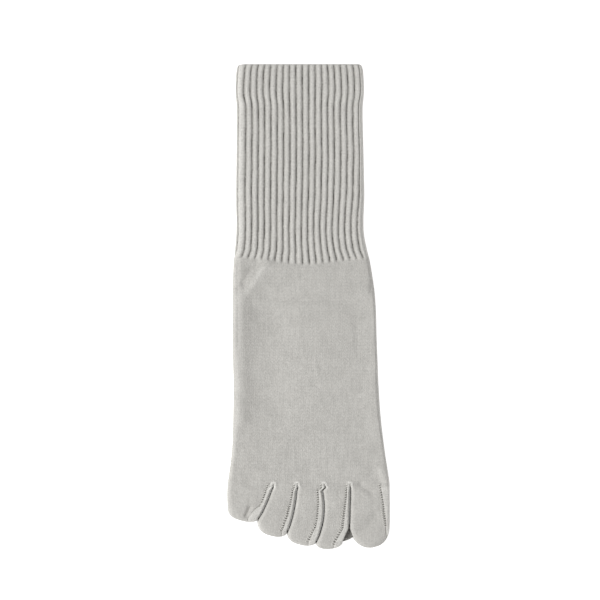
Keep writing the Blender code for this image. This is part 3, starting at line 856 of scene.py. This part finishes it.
def make_toe(toe, left, right):
    plan, roll = toe_plan(toe, left, right)

    def columns(along):
        """Shares across: round the left fold, over its shoulder, over the flat, and over groove and roll.

        A column over groove or roll keeps its place in them while the depth of its points grows with its
        share, so its shares are worked out in a few rounds.
        """
        fold_columns, shoulder_columns, flat_columns, groove_columns, roll_columns = 9, 7, 22, 8, 26
        width = plan.right(along) - plan.left(along)
        quarter = 1 - np.cos(np.linspace(0, math.pi / 2, fold_columns))
        turn = (plan.folds(along, along)[0] + 0.0001) * quarter[None, :]
        near_gap = turn[:, -1:] + SHOULDER_REACH * np.linspace(0, 1, shoulder_columns)[None, 1:]
        left_side = np.concatenate([turn, near_gap], axis=1) / width
        groove_offsets = GROOVE_WIDTH * np.linspace(GROOVE_REACH, 0, groove_columns, endpoint=False)
        roll_shares = np.linspace(1, 0, roll_columns) ** ROLL_CLOSENESS
        part_of_roll = np.concatenate([np.ones(groove_columns), roll_shares])[None, :]
        past_roll = np.concatenate([groove_offsets, np.zeros(roll_columns)])[None, :]
        right_side = np.ones(part_of_roll.shape)
        for _ in range(5):
            spot = pocket_spot(plan, along, right_side)
            offset = part_of_roll * roll(spot.at_right) + past_roll
            right_side = 1 - offset / (spot.from_left + spot.from_right)
        flat = mix(left_side[:, -1:], right_side[:, :1], np.linspace(0, 1, flat_columns)[None, 1:-1])
        return np.concatenate([left_side, flat, right_side], axis=1)

    make_pocket(toe.name + "_knit", plan, columns, 96, (toe.name,))
    make_stitches(toe, plan, roll)


def make_stitches(toe, plan, roll):
    """Thread over the groove at the roll's foot, one stitch every STITCH_SPACING, in one row and then in two.

    Each is a short bowed tube: a circle of points carried along an arc across the groove, drawn to a point
    at both ends.
    """
    circles, sides = 7, 6
    step = STITCH_SPACING / plan.right_length
    first = np.arange(step / 2, toe.stitches_to, step)
    second = np.arange(toe.second_row, toe.stitches_to, step)
    at_right = np.concatenate([first, second])
    row = np.concatenate([np.zeros(len(first)), np.ones(len(second))])
    jitter = np.sin(np.arange(len(at_right)) * 12.9898) * 0.5
    depth = plan.right_length * at_right
    width = plan.right(np.minimum(at_right, 1)) - plan.left(np.minimum(depth / plan.left_length, 1))
    share = 1 - (roll(at_right) + SECOND_ROW * row + UNEVEN_PLACE * jitter) / width
    along = depth / pocket_spot(plan, 1.0, share).reach
    foot = pocket_points(plan, along, share, np.False_, np.array(0.0))[0]
    bow = np.linspace(-1, 1, circles)
    slant = THREAD_SLANT * (1 - 3 * row) + UNEVEN_SLANT * jitter
    arch = THREAD_RISE * (1 - THREAD_BOW * bow[None, :] ** 2) + GROOVE_DEPTH * (1 - row[:, None])
    across = np.broadcast_to(THREAD_REACH * bow, arch.shape)
    spine = np.stack([across, slant[:, None] * bow[None, :], arch], axis=-1)
    turn = np.linspace(0, 2 * math.pi, sides, endpoint=False)
    thick = THREAD_RADIUS * np.sqrt(1 - bow**4)
    ring = thick[:, None, None] * np.stack([np.zeros(sides), np.cos(turn), np.sin(turn)], axis=-1)
    points = foot[:, None, None, :] + spine[:, :, None, :] + ring[None]
    index = np.arange(len(at_right) * circles * sides).reshape(-1, circles, sides)
    near, far = index[:, :-1], index[:, 1:]
    faces = np.stack([near, np.roll(near, -1, 2), np.roll(far, -1, 2), far], axis=-1).reshape(-1, 4)
    mesh = bpy.data.meshes.new(toe.name + "_stitches")
    mesh.from_pydata(points.reshape(-1, 3).tolist(), [], faces.tolist())
    merge_doubles(mesh)
    finish_piece(toe.name + "_stitches", mesh, THREAD, ())


def make_web():
    """The underside's cloth between second and big toe, deep in the gap where the two part.

    It is a flat pocket between their side lines that reaches a little under both, rounded at its lower edge.
    Its colour is painted shade all over.
    """
    line = SIDE_LINES[4]
    start = WEB_START * line.length * LONGEST_TOE
    left_length, right_length = WEB_LEFT * LONGEST_TOE - start, WEB_RIGHT * LONGEST_TOE - start

    def left_edge(at_left):
        depth = start + left_length * at_left
        return side_line(line, depth) - half_gap(line, depth) - WEB_UNDER_TOES

    def right_edge(at_right):
        depth = start + right_length * at_right
        return side_line(line, depth) + half_gap(line, depth) + WEB_UNDER_TOES

    def columns(along):
        even = np.linspace(0, 1, 24)[None, :]
        return np.broadcast_to(even, (len(along), even.size))

    plan = Plan(
        mouth=TOE_LINE - start,
        left=left_edge,
        right=right_edge,
        left_length=left_length,
        right_length=right_length,
        bulge=WEB_BULGE,
        lean=1.0,
        heights=lambda along: (WEB_LOW, WEB_HIGH),
        folds=lambda at_left, at_right: (WEB_FOLD, WEB_FOLD),
        tip_fold=WEB_TIP_FOLD,
        swell=lambda spot, outside: 0.0,
        shade=lambda spot: (WEB_SHADE, 0.0),
    )
    make_pocket("toe_web_knit", plan, columns, 12, ())


# Materials

class Graph:
    """Short calls for building a material's nodes."""

    def __init__(self, name):
        self.material = bpy.data.materials.new(name)
        self.material.use_nodes = True
        self.tree = self.material.node_tree
        self.shader = self.tree.nodes["Principled BSDF"]

    def node(self, kind, inputs=None, **settings):
        made = self.tree.nodes.new(kind)
        for key, value in settings.items():
            setattr(made, key, value)
        for key, value in (inputs or {}).items():
            if isinstance(value, bpy.types.NodeSocket):
                self.tree.links.new(value, made.inputs[key])
            else:
                made.inputs[key].default_value = value
        return made

    def maths(self, operation, *values, clamp=False):
        inputs = dict(enumerate(values))
        return self.node("ShaderNodeMath", inputs, operation=operation, use_clamp=clamp).outputs[0]

    def noise(self, vector, scale, detail=2.0, rough=0.5):
        inputs = {"Vector": vector, "Scale": scale, "Detail": detail, "Roughness": rough}
        return self.node("ShaderNodeTexNoise", inputs).outputs["Fac"]

    def attribute(self, name):
        return self.node("ShaderNodeAttribute", attribute_name=name).outputs["Fac"]

    def blend(self, share, start, end):
        return self.node("ShaderNodeMix", {0: share, 6: start, 7: end}, data_type="RGBA").outputs[2]

    def weighted(self, *pairs):
        """The sum of values times their weights."""
        total = 0.0
        for value, weight in pairs:
            total = self.maths("ADD", total, self.maths("MULTIPLY", value, weight))
        return total


def stitch_height(graph):
    """Height of a plain knit stitch from the UV map in stitches: two round yarn legs slant into each V."""
    uv = graph.node("ShaderNodeUVMap", uv_map="stitches").outputs[0]
    wobble = graph.node("ShaderNodeTexNoise", {"Vector": uv, "Scale": 0.35, "Detail": 1.0}).outputs["Color"]
    inputs = {0: uv, 1: (0.3, 0.3, 0.0), 2: wobble}
    shifted = graph.node("ShaderNodeVectorMath", inputs, operation="MULTIPLY_ADD").outputs[0]
    place = graph.node("ShaderNodeSeparateXYZ", {0: shifted})
    across = graph.maths("SUBTRACT", graph.maths("FRACT", place.outputs[0]), 0.5)
    from_middle = graph.maths("MULTIPLY", graph.maths("ABSOLUTE", across), 2.0)
    leg = graph.maths("SINE", graph.maths("MULTIPLY", from_middle, math.pi))
    slant = graph.maths("ADD", place.outputs[1], graph.maths("MULTIPLY", from_middle, 0.75))
    course = graph.maths("SINE", graph.maths("MULTIPLY", graph.maths("FRACT", slant), math.pi))
    return graph.maths("MULTIPLY", graph.maths("POWER", leg, 0.6), graph.maths("POWER", course, 0.7))


def knit_material(name):
    """Matt yarn over a mottle and loose fibres, with painted shade between stitches and painted highlight on
    them.

    Painted shade darkens valleys between ribs, stitch holes, the walls of gaps and the web, and painted
    highlight lightens crests, rolls, shoulders, lips and ridges.
    """
    graph = Graph(name)
    place = graph.node("ShaderNodeTexCoord").outputs["Object"]
    # The stitch height both bumps the yarn and paints shade between stitches and highlight on them. Fibres,
    # mottle, clouds and streaks are the yarn's own uneven tone.
    height = stitch_height(graph)
    fibres = graph.noise(place, 3000.0, 3.0, 0.7)
    mottle = graph.noise(place, 800.0, 3.0, 0.65)
    clouds = graph.noise(place, 110.0, 3.0, 0.6)
    drawn_out = graph.node("ShaderNodeMapping", {"Vector": place, "Scale": (1.0, 0.10, 1.0)}).outputs[0]
    streaks = graph.noise(drawn_out, 700.0, 2.0, 0.6)
    shade = graph.weighted((height, 0.30), (fibres, 0.70), (mottle, 1.20), (clouds, 0.60), (streaks, 0.50))
    shade = graph.maths("SUBTRACT", shade, 1.22, clamp=True)
    colour = graph.blend(shade, YARN_DARK, YARN_LIGHT)
    # Painted shade from the valley attribute, broken up by a speckle
    speckle = graph.maths("MULTIPLY_ADD", graph.noise(place, 900.0, 2.0, 0.6), 3.0, -0.4)
    deep = graph.maths("POWER", graph.attribute("valley"), 1.4)
    valley = graph.maths("MULTIPLY", deep, speckle, clamp=True)
    # Painted highlight from the crest attribute, broken up into patches
    patches = graph.maths("MULTIPLY_ADD", graph.noise(place, 1000.0, 3.0, 0.7), 1.8, -0.48, clamp=True)
    crest = graph.maths("MULTIPLY", graph.attribute("crest"), patches, clamp=True)
    colour = graph.blend(graph.maths("MULTIPLY", crest, 0.85), colour, YARN_PAINTED_HIGHLIGHT)
    colour = graph.blend(valley, colour, YARN_PAINTED_SHADE)
    graph.tree.links.new(colour, graph.shader.inputs["Base Color"])
    bumps = graph.weighted((height, 0.6), (fibres, 0.4), (mottle, 0.8))
    bump = graph.node("ShaderNodeBump", {"Strength": 0.6, "Distance": 0.00030, "Height": bumps})
    graph.tree.links.new(bump.outputs[0], graph.shader.inputs["Normal"])
    graph.shader.inputs["Roughness"].default_value = 0.95
    graph.shader.inputs["Specular IOR Level"].default_value = 0.15
    graph.shader.inputs["Sheen Weight"].default_value = 0.12
    graph.shader.inputs["Sheen Roughness"].default_value = 0.6
    return graph.material


def thread_material():
    """Seam thread: the yarn's light tone, with a fine twist along it towards the colour of painted highlight.
    """
    graph = Graph("seam_thread")
    place = graph.node("ShaderNodeTexCoord").outputs["Object"]
    twist = graph.noise(place, 4000.0, 2.0, 0.6)
    colour = graph.blend(twist, YARN_LIGHT, YARN_PAINTED_HIGHLIGHT)
    graph.tree.links.new(colour, graph.shader.inputs["Base Color"])
    graph.shader.inputs["Roughness"].default_value = 0.9
    graph.shader.inputs["Specular IOR Level"].default_value = 0.15
    return graph.material


# The yarn's dark and light tones, between which the stitch height also paints shade and highlight, then the
# colours of painted highlight and of painted shade
YARN_DARK = (0.385, 0.376, 0.354, 1.0)
YARN_LIGHT = (0.600, 0.587, 0.556, 1.0)
YARN_PAINTED_HIGHLIGHT = (0.760, 0.748, 0.713, 1.0)
YARN_PAINTED_SHADE = (0.155, 0.150, 0.138, 1.0)
RIB_KNIT = Look("rib_knit", knit_material("rib_knit"))
PLAIN_KNIT = Look("plain_knit", knit_material("plain_knit"))
THREAD = Look("plain_knit", thread_material())


# Floor, light and camera

def make_floor():
    """A plain white floor that glows a little, as on a light table, so that it shows hardly any shadow."""
    size, level = 4.0, -0.0004
    mesh = bpy.data.meshes.new("floor")
    corners = [(-size, -size, level), (size, -size, level), (size, size, level), (-size, size, level)]
    mesh.from_pydata(corners, [], [(0, 1, 2, 3)])
    floor = bpy.data.objects.new("floor", mesh)
    bpy.context.scene.collection.objects.link(floor)
    graph = Graph("white_floor")
    graph.shader.inputs["Base Color"].default_value = (0.92, 0.92, 0.92, 1.0)
    graph.shader.inputs["Roughness"].default_value = 0.9
    graph.shader.inputs["Specular IOR Level"].default_value = 0.0
    graph.shader.inputs["Emission Color"].default_value = (1.0, 1.0, 1.0, 1.0)
    graph.shader.inputs["Emission Strength"].default_value = 0.62
    mesh.materials.append(graph.material)


def add_area(name, place, size, power):
    """A square soft light that faces the sock."""
    lamp = bpy.data.lights.new(name, "AREA")
    lamp.size = size
    lamp.energy = power
    light = bpy.data.objects.new(name, lamp)
    light.location = place
    light.rotation_euler = (-Vector(place)).to_track_quat("-Z", "Y").to_euler()
    bpy.context.scene.collection.objects.link(light)


def light_scene():
    world = bpy.data.worlds.new("studio")
    bpy.context.scene.world = world
    world.use_nodes = True
    world.node_tree.nodes["Background"].inputs[0].default_value = (1.0, 1.0, 1.0, 1.0)
    world.node_tree.nodes["Background"].inputs[1].default_value = 0.41
    add_area("key_light", (-1.45, -0.25, 1.50), 0.8, 37.5)
    add_area("right_fill", (1.50, -0.20, 0.90), 1.0, 5.0)
    bpy.context.scene.view_settings.view_transform = "Standard"


def place_camera():
    """Straight above. The frame is 600 pixels wide, and the sock's length takes up 484 of them."""
    photo_size, sock_pixels = 600, 484
    middle_across, middle_down = 308.75, 307.0
    pixel = LENGTH / sock_pixels
    camera = bpy.data.cameras.new("camera")
    camera.lens = 100.0
    camera.sensor_width = 36.0
    distance = photo_size * pixel * camera.lens / camera.sensor_width
    viewer = bpy.data.objects.new("camera", camera)
    across = (photo_size / 2 - middle_across) * pixel
    along = (middle_down - photo_size / 2) * pixel
    viewer.location = (across, along, distance + LEG_HEIGHT / 2)
    bpy.context.scene.collection.objects.link(viewer)
    bpy.context.scene.camera = viewer


make_leg()
make_ankle()
make_heel()
make_foot()
for toe, left, right in zip(TOES, SIDE_LINES, SIDE_LINES[1:]):
    make_toe(toe, left, right)
make_web()
make_floor()
light_scene()
place_camera()
